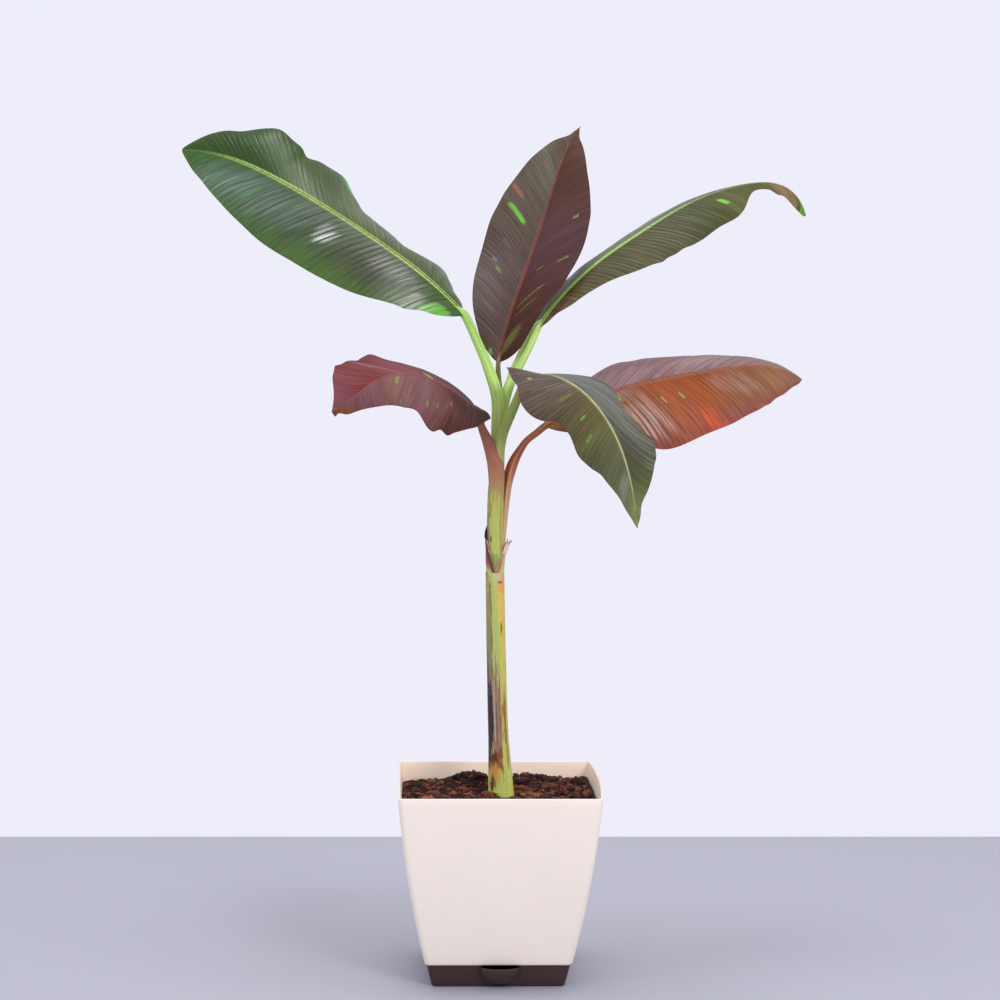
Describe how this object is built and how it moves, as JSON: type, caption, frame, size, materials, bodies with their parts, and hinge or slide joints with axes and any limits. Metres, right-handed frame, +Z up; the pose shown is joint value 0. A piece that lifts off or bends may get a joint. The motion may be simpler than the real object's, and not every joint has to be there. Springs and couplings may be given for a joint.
{
  "type": "potted banana plant",
  "caption": "Young banana plant with a slim pseudostem, stalked arching broad leaves and a torn dry sheath, growing in a tapered square planter on a water tray.",
  "frame": {"origin": "middle of the planter's flat underside, on the surface it stands on", "axes": "+Z up along the pseudostem, +X to the plant's right, towards the reddish side leaf, +Y to the back; the planter's front with the filling scoop faces -Y"},
  "size_m": [0.7776, 0.3673, 1.0221],
  "materials": {
    "tray": "matte",
    "shell": "satin",
    "soil": "matte",
    "stem": "satin",
    "husk": "matte",
    "red_petiole": "satin",
    "green_petiole": "satin",
    "green_leaf": "satin",
    "maroon_leaf": "satin",
    "olive_leaf": "satin",
    "red_leaf": "satin"
  },
  "bodies": {
    "root": {"base_tray": "tray", "pot_shell": "shell", "potting_soil": "soil", "pseudostem": "stem", "dead_sheath": "husk", "petiole_lower_left": "red_petiole", "petiole_right": "red_petiole", "petiole_drooping": "green_petiole", "petiole_upper_left": "green_petiole", "petiole_upper_right": "green_petiole", "petiole_upright": "green_petiole", "leaf_upper_left": "green_leaf", "leaf_upright": "maroon_leaf", "leaf_upper_right": "olive_leaf", "leaf_lower_left": "maroon_leaf", "leaf_drooping": "olive_leaf", "leaf_right": "red_leaf"}
  },
  "joints": []
}
